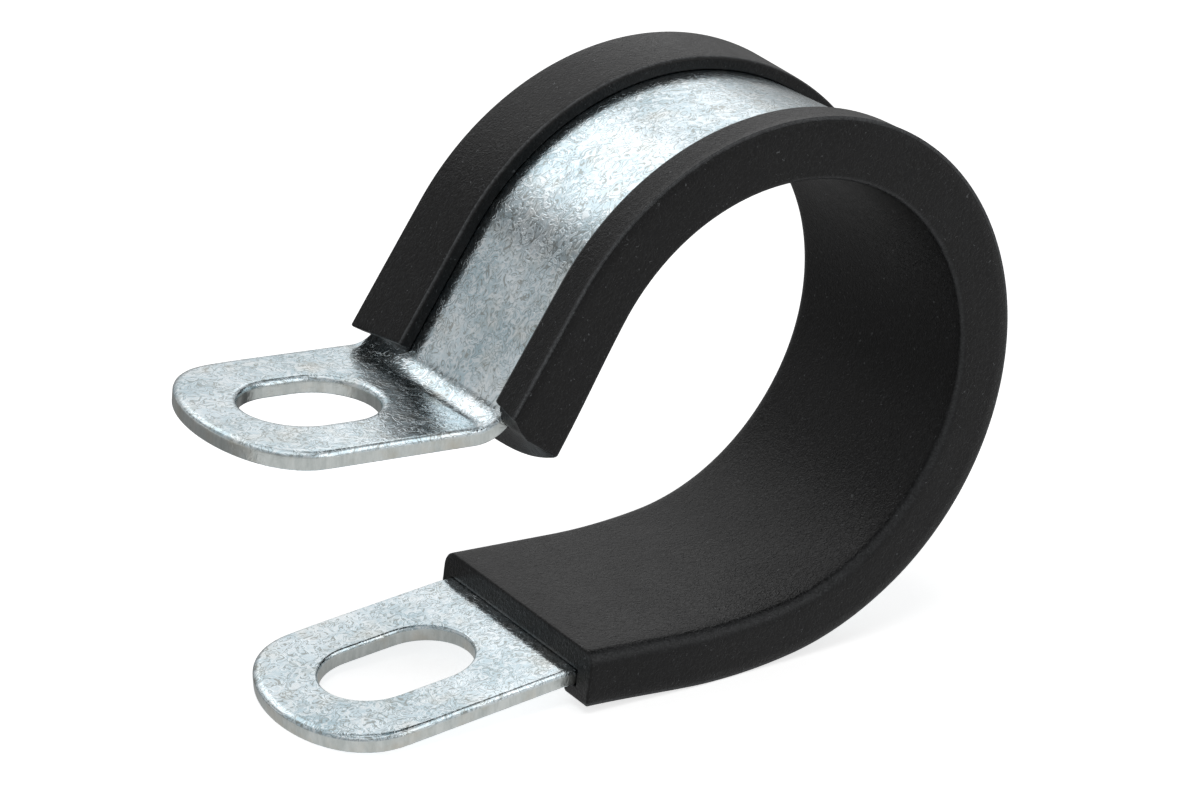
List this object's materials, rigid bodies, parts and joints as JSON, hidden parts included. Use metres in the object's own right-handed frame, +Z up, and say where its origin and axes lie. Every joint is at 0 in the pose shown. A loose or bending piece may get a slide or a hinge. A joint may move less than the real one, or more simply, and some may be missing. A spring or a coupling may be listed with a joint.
{
  "type": "p clip",
  "caption": "Rubber-lined P clip: a bent steel band with a slotted tab at each end, round a cushioned loop that grips a cable or pipe.",
  "frame": {"origin": "on the loop's axis, halfway across the liner's width", "axes": "+Y along the cable that the loop grips, +Z up as the clip rests, +X away from the tabs"},
  "size_m": [0.0739, 0.0236, 0.0509],
  "materials": {
    "zinc_plated_steel": "zinc plated, lightly mottled",
    "black_epdm_rubber": "matte extruded EPDM"
  },
  "bodies": {
    "root": {"steel_band": "zinc_plated_steel", "rubber_liner": "black_epdm_rubber"}
  },
  "joints": []
}
